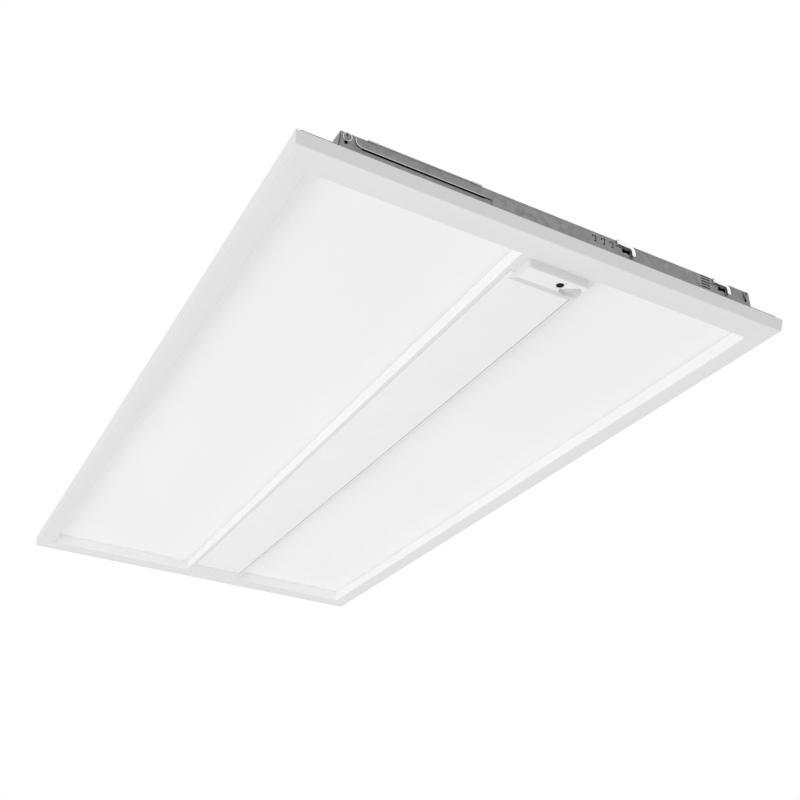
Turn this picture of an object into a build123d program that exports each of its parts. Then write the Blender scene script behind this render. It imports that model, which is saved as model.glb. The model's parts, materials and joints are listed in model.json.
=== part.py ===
from build123d import *
import math
import os

os.makedirs("parts", exist_ok=True)

# Recessed troffer light, in millimetres.
# X runs across the light, Y along it with the near (sensor) end at -Y, Z up into the ceiling.
# The origin is the middle of the ceiling plane, on which the face of the bezel lies.

# Bezel frame
frame_width = 603.0          # over the top edge of the outer walls
frame_length = 1213.0
side_face = 24.5             # visible face of a long side
end_face = 32.0              # visible face of an end
side_lean = 2.0              # a side wall leans out by this much over its height
end_lean = 2.6
frame_gauge = 1.4
lens_seat = 17.5             # ledge that the lenses lie on, above the ceiling plane
side_ledge = 12.0            # depth of the ledge behind the window's side walls
end_ledge = 15.0
lip_height = 15.0            # top of the outer walls, above the ceiling plane
step_in = 5.5                # from the frame's edge to the raised seat of the tray
seat_edge = 14.0             # from the frame's edge to the inner edge of that seat
window_corner = 5.0
edge_round = 0.7

# Housing
housing_height = 38.2        # top of the tray's flat back
housing_inset = 45.0         # from the frame's side to the flat back
slope_foot = 43.5            # from the frame's side to the foot of the sloped wall
flange_inset = 6.0           # from the frame's side to the edge of the tray's flange
end_inset = 3.8              # from the frame's end to the outer face of an end plate
tray_gauge = 0.8
rib_width = 14.0
rib_height = 1.5
rib_end = 60.0               # from the tray's end to the end of a rib
rib_places = (-185.0, -92.0, 128.0, 200.0)
plate_flange = 11.0
plate_foot = 2.2

# Centre channel and its cover
channel_width = 97.0
channel_offset = 16.0        # the channel's middle, from the middle of the frame
channel_gauge = 1.0
channel_lip = 5.5            # strip of channel seen on each side of the cover
channel_shelf = 10.0
near_tongue = 30.0           # closed end of the channel, at the sensor
far_tongue = 36.0
tongue_tab = 14.0            # how far a tab stands in from the channel's side wall
cover_gap = 0.8
cover_thickness = 1.6
cover_skirt = 8.0
cover_skirt_inset = 2.2
cover_skirt_wall = 1.4
cover_skirt_end = 45.0
spring_gauge = 0.5
spring_length = 20.0
spring_places = (-430.0, 0.0, 430.0)

# Sensor pod, its places measured from the channel's middle and from the pod's near wall
pod_drop = 9.0               # how far it stands below the ceiling plane
pod_left = 38.0
pod_right = 41.0
pod_start = 2.0              # from the window's end to the pod's near wall
pod_flat = 24.0
pod_ramp = 18.0
pod_near_draft = 2.5
pod_left_draft = 3.5
pod_corner = 3.5
pod_bevel = 0.9
scoop_centre = (26.6, 18.2)
scoop_mouth = 12.8           # radius at the pod's face
scoop_floor = 9.8            # radius at the bottom of the scoop
scoop_chord = 6.2            # from the scoop's centre to its straight side
scoop_depth = 6.0
scoop_turn = -32.0           # direction of the straight side
pod_floor = 1.5              # wall over the scoop
button_centre = (27.8, 19.6)
button_length = 9.0
button_width = 3.8
button_stand = 0.8
button_travel = 1.0
button_slot = 0.6            # dark gap around the button
button_flange = 0.8
button_flange_lap = 1.2
switch_radius = 2.0
switch_height = 1.2
eye_centre = (11.0, 14.0)
eye_radius = 4.2
eye_bevel = 0.8
indicator_centre = (14.5, 7.8)
indicator_radius = 0.75
neck_x = (-26.0, 40.0)
neck_y = (4.0, 27.0)
neck_rise = 8.0
neck_wall = 1.5
neck_corner = 2.0
board_gauge = 1.6

# Pressings of the end plates
pin_radius = 0.6
pin_sides = 12
knuckle_wall = 0.5
knuckle_length = 6.0
knuckle_gap = 0.3
door_start = -240.5
door_width = 152.0
door_low = 25.4              # lower edge of the door, above the ceiling plane
door_corner = 8.0
door_lap = 5.0               # how far the door laps its window at the sides
door_window_low = 23.4
door_window_height = 10.0
clip_places = {"inner": 69.5, "outer": 203.5}
clip_reach = 24.0
clip_band = 3.4
clip_leg = 4.2
clip_leg_drop = 11.0
clip_corner = 5.5
clip_flare = 1.3             # the tip of a clip stands out by this much
clip_rise = 6.9              # from the middle of the plate to the top of a clip
clip_window = (11.0, 6.0)
clip_window_at = (11.5, -1.8)
clip_window_waist = 3.6
lance_places = (40.0, 51.5, 62.5)
lance_size = (3.4, 8.0)      # of a bracket-shaped cut
lance_cut = 1.1              # width of the cut
tick_size = (1.1, 3.0)       # of the short cut beside a bracket
tick_at = (-3.0, 2.2)
louvre_count = 5
louvre_pitch = 3.6
louvre_size = (12.5, 1.3)
louvre_centre = 191.5
panel_span = (-88.0, -20.0)
panel_depth = 1.2
panel_top = 4.6              # from the top of the plate to the top of the panel
panel_corner = 4.0
hanger_spacing = 500.0
hanger_hole = 2.0
hanger_height = 25.5         # of the hanger holes, above the ceiling plane
dimple_size = (5.0, 8.5)
dimple_depth = 1.8
dimple_rise = 7.2

# Lenses, reflectors and boards
lens_thickness = 2.0
lens_lap = 9.0               # how far a lens reaches over its ledges
reflector_gauge = 0.6
reflector_slope = 34.0       # run of a reflector's sloped sides
reflector_seat = 5.0         # from the channel's side to a reflector's lower edge
led_board_width = 18.0
led_board_gauge = 1.2
led_board_end = 3.0          # from the end of a reflector's top to the end of its boards
led_size = 3.0
led_height = 0.8
led_pitch = 100.0
rivet_radius = 1.4
rivet_head = 2.4
rivet_head_height = 1.0
rivet_shift = 4.6            # from a board's middle line to its rivets

# Driver and wiring
driver_length = 360.0
driver_width = 30.0
driver_case_length = 304.0
driver_height = 21.0
driver_base_gauge = 0.8
driver_terminal = (24.0, 16.0, 10.0)
access_length = 400.0
access_width = 92.0
access_rim = 12.0            # how far the access plate laps its opening
supply_block = (32.0, 17.0, 12.0)
supply_place = (-134.0, 25.0)          # these places: x, and how far in from the near end
bushing_place = (-60.0, 36.5)
bushing_bore = 8.0
bushing_rim = 2.4
knockout_radius = 11.1
knockout_sides = 24
knockout_place = (100.0, 36.5)
ground_place = (-100.0, 26.5)
lead_radius = 1.2
supply_lead_size = 3.6
supply_lead_bend = 30.0
sensor_lead_bend = 14.0

# Fasteners and fits
screw_radius = 1.6
screw_head = 3.0             # half the width across the flats
head_sides = 6
screw_head_height = 1.5
frame_screw_places = (-480.0, 0.0, 480.0)
plate_screw_places = (-215.0, 20.0, 215.0)
channel_screw_spread = 20.0
hole_clearance = 0.15
thread_clearance = 0.05
running_clearance = 0.05
face_gap = 0.3               # between sheets that swing past each other

# Worked out from the above
half_width = frame_width / 2
half_length = frame_length / 2
rail_height = lens_seat + lens_thickness
window_x = half_width - side_lean - side_face
window_y = half_length - end_lean - end_face
channel_left = channel_offset - channel_width / 2
channel_right = channel_offset + channel_width / 2
channel_sides = ((channel_left, 1), (channel_right, -1))
cover_near = -window_y + near_tongue
cover_far = window_y - far_tongue
back_x = half_width - housing_inset
foot_x = half_width - slope_foot
plate_y = half_length - end_inset        # outer face of an end plate
tray_end = plate_y - tray_gauge          # inner face of an end plate, where the tray stops
back_under = housing_height - tray_gauge
flange_top = rail_height + tray_gauge
plate_middle = (flange_top + housing_height) / 2
wall_slope = (foot_x - back_x) / (housing_height - flange_top)
wall_run = tray_gauge * math.hypot(1, wall_slope)        # thickness of the sloped wall, measured level
board_under = back_under - reflector_gauge - led_board_gauge


def block(x, y, z):
    """A box from its low and high coordinates along each axis."""
    size = [abs(b - a) for a, b in (x, y, z)]
    middle = [(a + b) / 2 for a, b in (x, y, z)]
    return Pos(*middle) * Box(*size)


def tube(radius, start, end):
    """A round bar between two points."""
    axis = Vector(*end) - Vector(*start)
    plane = Plane(origin=start, z_dir=axis)
    return extrude(plane * Circle(radius), axis.length)


def facet_bar(radius, start, end, sides=8):
    """A bar with flats at the radius. Small fasteners, curls and their holes are made with it."""
    axis = Vector(*end) - Vector(*start)
    plane = Plane(origin=start, z_dir=axis)
    outline = RegularPolygon(radius, sides, major_radius=False, rotation=180 / sides)
    return extrude(plane * outline, axis.length)


def hinge_pin(start, end):
    """A slim pin whose corners lie on its radius, so that it turns freely in a bore with flats."""
    axis = Vector(*end) - Vector(*start)
    return extrude(Plane(origin=start, z_dir=axis) * RegularPolygon(pin_radius, pin_sides), axis.length)


def prism_y(points, y):
    """An outline of (x, z) points, extruded from y[0] to y[1]."""
    plane = Plane(origin=(0, max(y), 0), x_dir=(1, 0, 0), z_dir=(0, -1, 0))
    return extrude(plane * make_face(Polyline(*points, close=True)), abs(y[1] - y[0]))


def prism_x(points, x):
    """An outline of (y, z) points, extruded from x[0] to x[1]."""
    plane = Plane(origin=(min(x), 0, 0), x_dir=(0, 1, 0), z_dir=(1, 0, 0))
    return extrude(plane * make_face(Polyline(*points, close=True)), abs(x[1] - x[0]))


def slab(width, length, radius, z, x=0.0, y=0.0):
    """A rounded rectangle seen from above, extruded from z[0] to z[1]."""
    return Pos(x, y, min(z)) * extrude(RectangleRounded(width, length, radius), abs(z[1] - z[0]))


def clipped(width, length, corner):
    """A rectangle with its corners cut off."""
    return chamfer(Rectangle(width, length).vertices(), corner)


def sheet(width, length, corner, z, x=0.0, y=0.0):
    """A rectangle with cut corners seen from above, extruded from z[0] to z[1]."""
    return Pos(x, y, min(z)) * extrude(clipped(width, length, corner), abs(z[1] - z[0]))


def on_plate(shape, x, z, y, depth):
    """A flat shape seen from the near end, extruded outwards from y."""
    plane = Plane(origin=(x, y, z), x_dir=(1, 0, 0), z_dir=(0, -1, 0))
    return extrude(plane * shape, depth)


def from_end(place):
    """A place given as x and the distance in from the near end."""
    return place[0], place[1] - half_length


def turned(shape):
    """The same piece at the other end of the light."""
    return Rot(0, 0, 180) * shape


def screw_down(x, y, seat, reach):
    """Hexagon-headed screw driven down, its head on the seat."""
    head = facet_bar(screw_head, (x, y, seat), (x, y, seat + screw_head_height), head_sides)
    return head + facet_bar(screw_radius, (x, y, seat - reach), (x, y, seat))


def drilled(piece, places, z, clearance):
    """Cuts an upright screw hole at each place."""
    for x, y in places:
        piece -= facet_bar(screw_radius + clearance, (x, y, min(z)), (x, y, max(z)))
    return piece


# Bezel frame

def leaning_block(inset, z_low, z_high):
    """The form inside the frame's leaning outer walls, drawn in by inset."""
    outlines = []
    for z in (z_low, z_high):
        lean = 1 - z / lip_height
        width = frame_width - 2 * (side_lean * lean + inset)
        length = frame_length - 2 * (end_lean * lean + inset)
        outlines.append(Pos(0, 0, z) * Rectangle(width, length))
    return loft(outlines, ruled=True)


def frame_screws_at():
    x = half_width - (step_in + seat_edge) / 2
    return [(side * x, y) for y in frame_screw_places for side in (-1, 1)]


def channel_screws_at():
    y = window_y + end_ledge / 2
    return [(channel_offset + dx, end * y) for dx in (-channel_screw_spread, channel_screw_spread)
            for end in (-1, 1)]


def inset_block(inset, z):
    """A block with the frame's outline, drawn in by inset."""
    x, y = half_width - inset, half_length - inset
    return block((-x, x), (-y, y), z)


def window_bevel():
    """What the bevelled edge of the window takes off the face."""
    outlines = []
    for z, grow in ((0, edge_round), (edge_round, 0)):
        width, length = 2 * (window_x + grow), 2 * (window_y + grow)
        outlines.append(Pos(0, 0, z) * RectangleRounded(width, length, window_corner + grow))
    return loft(outlines, ruled=True)


def bezel_frame():
    walls = leaning_block(0, edge_round, lip_height)
    foot = Rectangle(2 * (half_width - side_lean - edge_round), 2 * (half_length - end_lean - edge_round))
    frame = walls + loft([foot, walls.faces().sort_by(Axis.Z)[0]])
    frame += inset_block(step_in, (edge_round, rail_height))
    frame -= leaning_block(frame_gauge, frame_gauge, lip_height - frame_gauge)
    frame -= inset_block(step_in + frame_gauge, (frame_gauge, rail_height - frame_gauge))
    frame -= inset_block(seat_edge, (frame_gauge, rail_height + 1))
    frame += slab(2 * (window_x + frame_gauge), 2 * (window_y + frame_gauge),
                  window_corner + frame_gauge, (0, lens_seat))
    frame += slab(2 * (window_x + side_ledge), 2 * (window_y + end_ledge),
                  window_corner, (lens_seat - frame_gauge, lens_seat))
    frame -= slab(2 * window_x, 2 * window_y, window_corner, (-1, rail_height))
    frame -= window_bevel()
    for end in (-1, 1):      # the face stays flat where it meets the channel
        frame += block((channel_left, channel_right), (end * window_y, end * (window_y + edge_round)),
                       (0, frame_gauge))
    frame = drilled(frame, frame_screws_at(), (lens_seat, rail_height + 1), thread_clearance)
    return drilled(frame, channel_screws_at(), (lens_seat - 2 * frame_gauge, rail_height), thread_clearance)


# Centre channel, its cover and springs

def channel_side(wall, inward):
    """One folded side: lip at the face, upright wall, shelf under the edge of a lens."""
    inner = wall + inward * channel_gauge
    lip = wall + inward * channel_lip
    shelf = wall + inward * channel_shelf
    outline = [(wall, 0), (lip, 0), (lip, channel_gauge), (inner, channel_gauge),
               (inner, lens_seat - channel_gauge), (shelf, lens_seat - channel_gauge),
               (shelf, lens_seat), (wall, lens_seat)]
    return prism_y(outline, (-window_y, window_y))


def channel_tongue(window, cover):
    """Closed end: face plate, end wall and the tab that lies on the frame's end ledge."""
    outward = 1 if window > 0 else -1
    inner = (channel_left + channel_gauge, channel_right - channel_gauge)
    tab = (channel_left + tongue_tab, channel_right - tongue_tab)
    top = lens_seat + channel_gauge
    plate = block(inner, (window, cover), (0, channel_gauge))
    plate += block(tab, (window, window - outward * channel_gauge), (0, top))
    return plate + block(tab, (window - outward * channel_gauge, window + outward * (end_ledge - 2)),
                         (lens_seat, top))


def pod_neck(grow):
    """The sensor pod's neck, which goes through the near tongue."""
    x0, x1 = [channel_offset + x for x in neck_x]
    y0, y1 = [-window_y + pod_start + y for y in neck_y]
    return slab(x1 - x0 + 2 * grow, y1 - y0 + 2 * grow, neck_corner, (-0.5, neck_rise),
                (x0 + x1) / 2, (y0 + y1) / 2)


def centre_channel():
    channel = channel_side(channel_left, 1) + channel_side(channel_right, -1)
    channel += channel_tongue(-window_y, cover_near)
    channel += channel_tongue(window_y, cover_far)
    channel -= pod_neck(hole_clearance)
    return drilled(channel, channel_screws_at(), (lens_seat, rail_height + 1), hole_clearance)


def centre_cover():
    left = channel_left + channel_lip + cover_gap
    right = channel_right - channel_lip - cover_gap
    near = cover_near + cover_gap
    far = cover_far - cover_gap
    cover = block((left, right), (near, far), (0, cover_thickness))
    cover = fillet(cover.edges().filter_by_position(Axis.Z, -0.01, 0.01), edge_round)
    skirt = (near + cover_skirt_end, far - cover_skirt_end)
    for edge, inward in ((left, 1), (right, -1)):
        x = edge + inward * cover_skirt_inset
        cover += block((x, x + inward * cover_skirt_wall), skirt, (cover_thickness / 2, cover_skirt))
    return cover


def cover_springs():
    """Leaf springs: a leg in the channel's fold and an arm that grips the cover's skirt."""
    springs = []
    for wall, inward in channel_sides:
        leg = wall + inward * channel_gauge
        leg_face = leg + inward * spring_gauge
        skirt = wall + inward * (channel_lip + cover_gap + cover_skirt_inset)
        arm = skirt - inward * spring_gauge
        low = cover_skirt / 2
        top = cover_skirt + spring_gauge * 4
        crown = top + spring_gauge * 2
        outline = [(leg, channel_gauge), (leg_face, channel_gauge), (leg_face, top),
                   (arm, cover_skirt * 0.6), (arm, low), (skirt, low),
                   (skirt, cover_skirt * 0.7), (leg_face, crown), (leg, crown)]
        springs += [prism_y(outline, (y - spring_length / 2, y + spring_length / 2)) for y in spring_places]
    return Compound(children=springs)


# Lenses, reflectors and boards

lens_spans = {"left": (-window_x, channel_left), "right": (channel_right, window_x)}


def lens(span):
    return block((span[0] - lens_lap, span[1] + lens_lap), (-window_y - lens_lap, window_y + lens_lap),
                 (lens_seat, rail_height))


def reflector_span(span):
    """Lower edges of a reflector: inside the tray's foot and over the channel's shelf."""
    reach = foot_x - wall_run - hole_clearance
    low, high = span
    return (-reach, high + reflector_seat) if low < 0 else (low - reflector_seat, reach)


def board_rows(span):
    low, high = reflector_span(span)
    quarter = (high - low) / 4
    return (low + quarter, high - quarter)


def board_length():
    return 2 * (window_y + lens_lap - reflector_slope - led_board_end)


def rivets_at(row):
    y = board_length() * 0.42
    return [(row + rivet_shift, -y), (row + rivet_shift, y)]


def pan(span, inset):
    low, high = [edge + side * inset for edge, side in zip(reflector_span(span), (1, -1))]
    length = 2 * (window_y + lens_lap - inset)
    middle = (low + high) / 2
    mouth = Pos(middle, 0, rail_height) * Rectangle(high - low, length)
    top = Pos(middle, 0, back_under - inset) * Rectangle(high - low - 2 * reflector_slope,
                                                         length - 2 * reflector_slope)
    return loft([mouth, top], ruled=True)


def reflector(span):
    """White pan, open downwards over its lens."""
    shell = pan(span, 0) - pan(span, reflector_gauge)
    for row in board_rows(span):
        for x, y in rivets_at(row):
            shell -= facet_bar(rivet_radius + thread_clearance, (x, y, board_under), (x, y, housing_height))
    y = driver_case_length / 2 + driver_terminal[1] / 2
    z = board_under - lead_radius
    low, high = reflector_span(span)
    edge = high if low < 0 else low
    start, end = edge - reflector_slope, edge + reflector_slope
    return shell - facet_bar(lead_radius * 1.4, (start, y, z), (end, y, z))


def led_board(row):
    board = block((row - led_board_width / 2, row + led_board_width / 2),
                  (-board_length() / 2, board_length() / 2), (board_under, board_under + led_board_gauge))
    count = int(board_length() / led_pitch)
    for i in range(count):
        y = (i - (count - 1) / 2) * led_pitch
        board += block((row - led_size / 2, row + led_size / 2), (y - led_size / 2, y + led_size / 2),
                       (board_under - led_height, board_under))
    for x, y in rivets_at(row):
        board -= facet_bar(rivet_radius + thread_clearance, (x, y, board_under - 1), (x, y, back_under))
    return board


def board_rivets():
    rivets = []
    for span in lens_spans.values():
        for row in board_rows(span):
            for x, y in rivets_at(row):
                head = facet_bar(rivet_head, (x, y, board_under - rivet_head_height), (x, y, board_under))
                rivets.append(head + facet_bar(rivet_radius, (x, y, board_under), (x, y, back_under)))
    return Compound(children=rivets)


def board_leads():
    """Leads from the driver to the inner boards, and links from those to the outer boards."""
    y = driver_case_length / 2 + driver_terminal[1] / 2
    z = board_under - lead_radius
    grip = led_board_width / 4
    leads = []
    for span in lens_spans.values():
        rows = sorted(board_rows(span), key=lambda row: abs(row - channel_offset))
        side = -1 if span[0] < 0 else 1
        stops = [channel_offset + side * driver_terminal[0] / 2]
        stops += [rows[0] - side * grip, rows[0] + side * grip, rows[1] - side * grip]
        for start, end in (stops[0:2], stops[2:4]):
            leads.append(facet_bar(lead_radius, (start, y, z), (end, y, z)))
    return Compound(children=leads)


# Housing tray

def access_screws_at():
    dx = (access_width - access_rim) / 2
    dy = (access_length - access_rim) / 2
    return [(channel_offset + sx * dx, sy * dy) for sx in (-1, 1) for sy in (-1, 1)]


def driver_screws_at():
    y = (driver_length + driver_case_length) / 4 + driver_terminal[1] / 2
    return [(channel_offset, -y), (channel_offset, y)]


def plate_screws_at(end):
    y = tray_end - plate_flange / 2
    return [(-end * x, end * y) for x in plate_screw_places]


def tray_rib(x):
    length = 2 * (tray_end - rib_end)
    rib = sheet(rib_width, length, rib_width * 0.35, (back_under, housing_height + rib_height), x)
    wall = 2 * tray_gauge
    hollow = sheet(rib_width - wall, length - wall, rib_width * 0.35 - tray_gauge / 2,
                   (back_under - 1, housing_height + rib_height - tray_gauge), x)
    return rib, hollow


def housing_tray():
    """Folded back: flat top, steep walls, flanges that lie on the frame's raised seat."""
    edge = half_width - flange_inset
    half = [(back_x, housing_height), (foot_x, flange_top), (edge, flange_top), (edge, rail_height),
            (foot_x - wall_run, rail_height), (back_x - wall_run, back_under)]
    tray = prism_y(half + [(-x, z) for x, z in reversed(half)], (-tray_end, tray_end))
    for x in rib_places:
        rib, hollow = tray_rib(x)
        tray = tray + rib - hollow
    through = (back_under - 1, housing_height + 1)
    tray -= sheet(access_width - 2 * access_rim, access_length - 2 * access_rim, access_rim / 3, through,
                  channel_offset)
    for x, y in (from_end(knockout_place), from_end(bushing_place)):
        tray -= facet_bar(knockout_radius, (x, y, through[0]), (x, y, through[1]), knockout_sides)
    for places in (access_screws_at(), plate_screws_at(-1), plate_screws_at(1), [from_end(ground_place)]):
        tray = drilled(tray, places, through, hole_clearance)
    return drilled(tray, frame_screws_at(), (rail_height - 1, flange_top + 1), hole_clearance)


def driver_access_plate():
    top = housing_height + tray_gauge
    plate = sheet(access_width, access_length, access_rim / 3, (housing_height, top), channel_offset)
    return drilled(plate, access_screws_at() + driver_screws_at(), (back_under, top + 1), hole_clearance)


def knockout_disc():
    x, y = from_end(knockout_place)
    radius = knockout_radius - hole_clearance
    return facet_bar(radius, (x, y, back_under), (x, y, housing_height), knockout_sides)


def supply_bushing():
    """Snap-in insulating bushing, its bore open for the supply cable."""
    x, y = from_end(bushing_place)
    body = knockout_radius - hole_clearance
    low, high = back_under - bushing_rim, housing_height + bushing_rim
    ring = facet_bar(body, (x, y, low), (x, y, high), knockout_sides)
    ring += facet_bar(body + bushing_rim, (x, y, housing_height), (x, y, high), knockout_sides)
    return ring - tube(bushing_bore, (x, y, low - 1), (x, y, high + 1))


# End plates, door and grid clips

hinge_y = -plate_y - pin_radius - knuckle_wall - face_gap
hinge_z = housing_height - pin_radius - knuckle_wall
knuckle_radius = pin_radius + knuckle_wall
bore_radius = pin_radius + running_clearance
leaf_back = -plate_y - face_gap          # back of a leaf that lies along the plate
door_end = door_start + door_width
clip_top = plate_middle + clip_rise
clip_band_z = (clip_top - clip_band, clip_top)


def plate_outline():
    """Outline that closes the tray's end and stands on the frame's lip."""
    low = foot_x - wall_run - hole_clearance
    high = back_x - wall_run - hole_clearance
    return [(-low, lip_height), (low, lip_height), (high, back_under), (-high, back_under)]


def through_plate(shape, x, z):
    """A cut of any outline through the plate."""
    return on_plate(shape, x, z, -tray_end + 1, tray_gauge + 2)


def lance():
    """Bracket-shaped cut that frees a tab, and the short cut beside it."""
    width, height = lance_size
    shape = Rectangle(width, height) - Pos(-lance_cut, 0) * Rectangle(width, height - 2 * lance_cut)
    return shape + Pos(*tick_at) * Rectangle(*tick_size)


def clip_opening():
    """Window under a clip, drawn in at its waist."""
    x, z = [side / 2 for side in clip_window]
    quarter = [(x, z * 0.7), (x * 0.7, z), (0, clip_window_waist / 2), (-x * 0.7, z), (-x, z * 0.7)]
    return make_face(Polyline(*quarter, *[(-a, -b) for a, b in quarter], close=True))


def punched(x, z, size):
    """A window through the plate, its corners cut off."""
    return through_plate(clipped(*size, min(size) * 0.3), x, z)


def door_knuckles():
    """Spans of the fixed and the moving knuckle at each end of the door."""
    spans = []
    for x in (door_start + door_width * 0.12, door_start + door_width * 0.88):
        fixed = (x - knuckle_length, x - knuckle_gap / 2)
        moving = (x + knuckle_gap / 2, x + knuckle_length)
        spans.append((fixed, moving))
    return spans


def fixed_door_knuckle(span):
    """Curl of the plate that holds the door's pin."""
    top = hinge_z + knuckle_radius
    low, high = span
    knuckle = facet_bar(knuckle_radius, (low, hinge_y, hinge_z), (high, hinge_y, hinge_z))
    knuckle += block(span, (hinge_y, -plate_y), (hinge_z, top))
    knuckle += block(span, (-plate_y, -tray_end), (back_under - tray_gauge, top))
    return knuckle - facet_bar(bore_radius, (low - 1, hinge_y, hinge_z), (high + 1, hinge_y, hinge_z))


def clip_ear_spans():
    low, high = clip_band_z
    ear = 2 * pin_radius
    return ((low - knuckle_gap - ear, low - knuckle_gap), (high + knuckle_gap, high + knuckle_gap + ear))


def clip_ear(x, z):
    """Lug of the plate that holds one end of a clip's upright pin."""
    ear = facet_bar(knuckle_radius, (x, hinge_y, z[0]), (x, hinge_y, z[1]))
    ear += block((x - knuckle_radius, x + knuckle_radius), (hinge_y, -plate_y), z)
    return ear - facet_bar(bore_radius, (x, hinge_y, z[0] - 1), (x, hinge_y, z[1] + 1))


def pressed_panel():
    """Flat panel pressed out of the plate beside the door."""
    low, high = panel_span
    bottom = lip_height + tray_gauge
    top = back_under - panel_top
    face = Pos((low + high) / 2, (bottom + top) / 2) * Rectangle(high - low, top - bottom)
    face = chamfer(face.vertices().group_by(Axis.Y)[-1], panel_corner)
    panel = on_plate(face, 0, 0, -plate_y, panel_depth)
    return chamfer(panel.faces().sort_by(Axis.Y)[0].edges(), panel_depth * 0.6)


def hanger_dimple(x):
    """Boss pressed out above a hanger hole, with a sunk middle."""
    z = hanger_height + dimple_rise
    boss = on_plate(clipped(*dimple_size, dimple_size[0] * 0.3), x, z, -plate_y, dimple_depth)
    boss = chamfer(boss.faces().sort_by(Axis.Y)[0].edges(), dimple_depth * 0.4)
    inner = [side * 0.4 for side in dimple_size]
    floor = -plate_y - dimple_depth * 0.4
    return boss - on_plate(clipped(*inner, inner[0] * 0.3), x, z, floor, dimple_depth)


def end_plate(with_door):
    low = plate_outline()[1][0]
    high = plate_outline()[2][0]
    plate = prism_y(plate_outline(), (-plate_y, -tray_end))
    plate += block((-low, low), (-plate_y - plate_foot, -tray_end), (lip_height, lip_height + tray_gauge))
    fold = (back_under - tray_gauge, back_under)
    plate += block((-high, high), (-tray_end, -tray_end + plate_flange), fold)
    plate = drilled(plate, plate_screws_at(-1), (back_under - 2, back_under + 1), thread_clearance)
    plate += pressed_panel()
    for side in (-1, 1):
        x = side * hanger_spacing / 2
        plate += hanger_dimple(x)
        plate -= through_plate(Circle(hanger_hole), x, hanger_height)
    for x in lance_places:
        plate -= through_plate(lance(), x, plate_middle)
    for i in range(louvre_count):
        z = plate_middle + (i - (louvre_count - 1) / 2) * louvre_pitch
        plate -= through_plate(Rectangle(*louvre_size), louvre_centre, z)
    for x in clip_places.values():
        plate -= through_plate(clip_opening(), x + clip_window_at[0], plate_middle + clip_window_at[1])
        for z in clip_ear_spans():
            plate += clip_ear(x, z)
    if with_door:
        plate -= punched(door_start + door_width / 2, door_window_low + door_window_height / 2,
                         (door_width - 2 * door_lap, door_window_height))
        for fixed, moving in door_knuckles():
            plate += fixed_door_knuckle(fixed)
    return plate


def wiring_door():
    """Cover hung on two knuckles along its top edge, with one lower corner rounded."""
    top = hinge_z - knuckle_wall / 2
    corners = [(door_start, door_low), (door_end, door_low), (door_end, top), (door_start, top)]
    face = make_face(Polyline(*corners, close=True))
    face = fillet(face.vertices().sort_by(lambda v: v.X + v.Y)[0], door_corner)
    door = on_plate(face, 0, 0, leaf_back, tray_gauge)
    for fixed, moving in door_knuckles():
        notch = (fixed[0] - knuckle_gap, fixed[1] + knuckle_gap / 2)
        door -= block(notch, (hinge_y - 2 * pin_radius, -plate_y),
                      (hinge_z - knuckle_radius - knuckle_gap, housing_height))
        door += facet_bar(knuckle_radius, (moving[0], hinge_y, hinge_z), (moving[1], hinge_y, hinge_z))
    return door - facet_bar(bore_radius, (door_start - 1, hinge_y, hinge_z), (door_end + 1, hinge_y, hinge_z))


def door_pin():
    spans = door_knuckles()
    return hinge_pin((spans[0][0][0], hinge_y, hinge_z), (spans[1][1][1], hinge_y, hinge_z))


def grid_clip(x):
    """Bent clip on an upright pin: a band with a rounded leg that flares out at its tip."""
    low, high = clip_band_z
    tip = x + clip_reach
    outline = [(x, high), (tip, high), (tip, high - clip_leg_drop), (tip - clip_leg, high - clip_leg_drop),
               (tip - clip_leg, low), (x, low)]
    face = make_face(Polyline(*outline, close=True))
    face = fillet(face.vertices().sort_by(lambda v: v.X + v.Y)[-1], clip_corner)
    face = fillet(face.vertices().group_by(Axis.Y)[0], clip_leg * 0.4)
    stamped = on_plate(face, 0, 0, -plate_y, end_inset)
    bend = tip - clip_leg - 2
    front = leaf_back - tray_gauge
    strip = make_face(Polyline((x, leaf_back), (bend, leaf_back), (tip, leaf_back - clip_flare),
                               (tip, front - clip_flare), (bend, front), (x, front), close=True))
    strip = Pos(0, 0, high - clip_leg_drop - 1) * extrude(strip, clip_leg_drop + 2)
    clip = (strip & stamped) + facet_bar(knuckle_radius, (x, hinge_y, low), (x, hinge_y, high))
    return clip - facet_bar(bore_radius, (x, hinge_y, low - 1), (x, hinge_y, high + 1))


def clip_pins():
    spans = clip_ear_spans()
    pins = [hinge_pin((x, hinge_y, spans[0][0]), (x, hinge_y, spans[1][1])) for x in clip_places.values()]
    return Compound(children=pins + [turned(pin) for pin in pins])


# Sensor pod

pod_y = -window_y + pod_start            # foot of the pod's near wall
scoop_top = -pod_drop + scoop_depth
floor_top = scoop_top + pod_floor
board_low = floor_top + button_flange + button_travel + switch_height + 2 * thread_clearance


def in_pod(place):
    """A place measured from the channel's middle and the pod's near wall."""
    return channel_offset + place[0], pod_y + place[1]


def pod_form():
    left, right = channel_offset - pod_left, channel_offset + pod_right
    body = prism_x([(pod_y, 0), (pod_y + pod_near_draft, -pod_drop), (pod_y + pod_flat, -pod_drop),
                    (pod_y + pod_flat + pod_ramp, 0)], (left, right))
    far = pod_y + pod_flat + pod_ramp
    body -= prism_y([(left - 1, 0), (left - 1, -pod_drop - 1), (left + pod_left_draft, -pod_drop - 1),
                     (left + pod_left_draft, -pod_drop), (left, 0)], (pod_y - 1, far + 1))
    corners = [edge for edge in body.edges()
               if edge.bounding_box().size.Z > pod_drop * 0.9 and edge.center().Y < pod_y + pod_flat / 2]
    body = fillet(corners, pod_corner)
    return chamfer(body.faces().sort_by(Axis.Z)[0].edges(), pod_bevel)


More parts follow.
